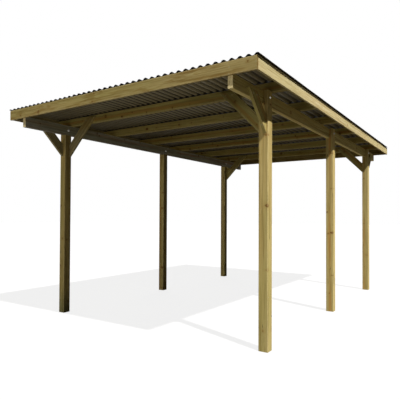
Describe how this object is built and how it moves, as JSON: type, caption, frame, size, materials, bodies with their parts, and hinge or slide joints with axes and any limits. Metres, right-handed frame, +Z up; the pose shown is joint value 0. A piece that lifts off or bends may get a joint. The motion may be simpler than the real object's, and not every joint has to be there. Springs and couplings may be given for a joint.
{
  "type": "carport",
  "caption": "Open timber carport with notched posts, corner braces, cross rafters, fascia boards and a flat roof of black corrugated sheets.",
  "frame": {"origin": "on the ground, under the middle of the roof", "axes": "+Z up, +Y from the front to the rear along the parked vehicle, +X to the right seen from the front"},
  "size_m": [3.1852, 5.15, 2.4166],
  "materials": {
    "post_timber": "planed, pressure treated",
    "frame_timber": "planed, pressure treated",
    "board_timber": "planed, pressure treated",
    "sheet_plastic": "semi-matt black"
  },
  "bodies": {
    "root": {"post_front_left": "post_timber", "post_front_right": "post_timber", "post_middle_left": "post_timber", "post_middle_right": "post_timber", "post_rear_left": "post_timber", "post_rear_right": "post_timber", "beam_left": "frame_timber", "beam_right": "frame_timber", "rafter_1": "frame_timber", "rafter_2": "frame_timber", "rafter_3": "frame_timber", "rafter_4": "frame_timber", "rafter_5": "frame_timber", "rafter_6": "frame_timber", "brace_front_left_side": "frame_timber", "brace_front_left_cross": "frame_timber", "brace_front_right_side": "frame_timber", "brace_front_right_cross": "frame_timber", "brace_rear_left_side": "frame_timber", "brace_rear_left_cross": "frame_timber", "brace_rear_right_side": "frame_timber", "brace_rear_right_cross": "frame_timber", "fascia_front": "board_timber", "fascia_rear": "board_timber", "fascia_left": "board_timber", "fascia_right": "board_timber", "roof_sheet_left": "sheet_plastic", "roof_sheet_middle": "sheet_plastic", "roof_sheet_right": "sheet_plastic"}
  },
  "joints": []
}
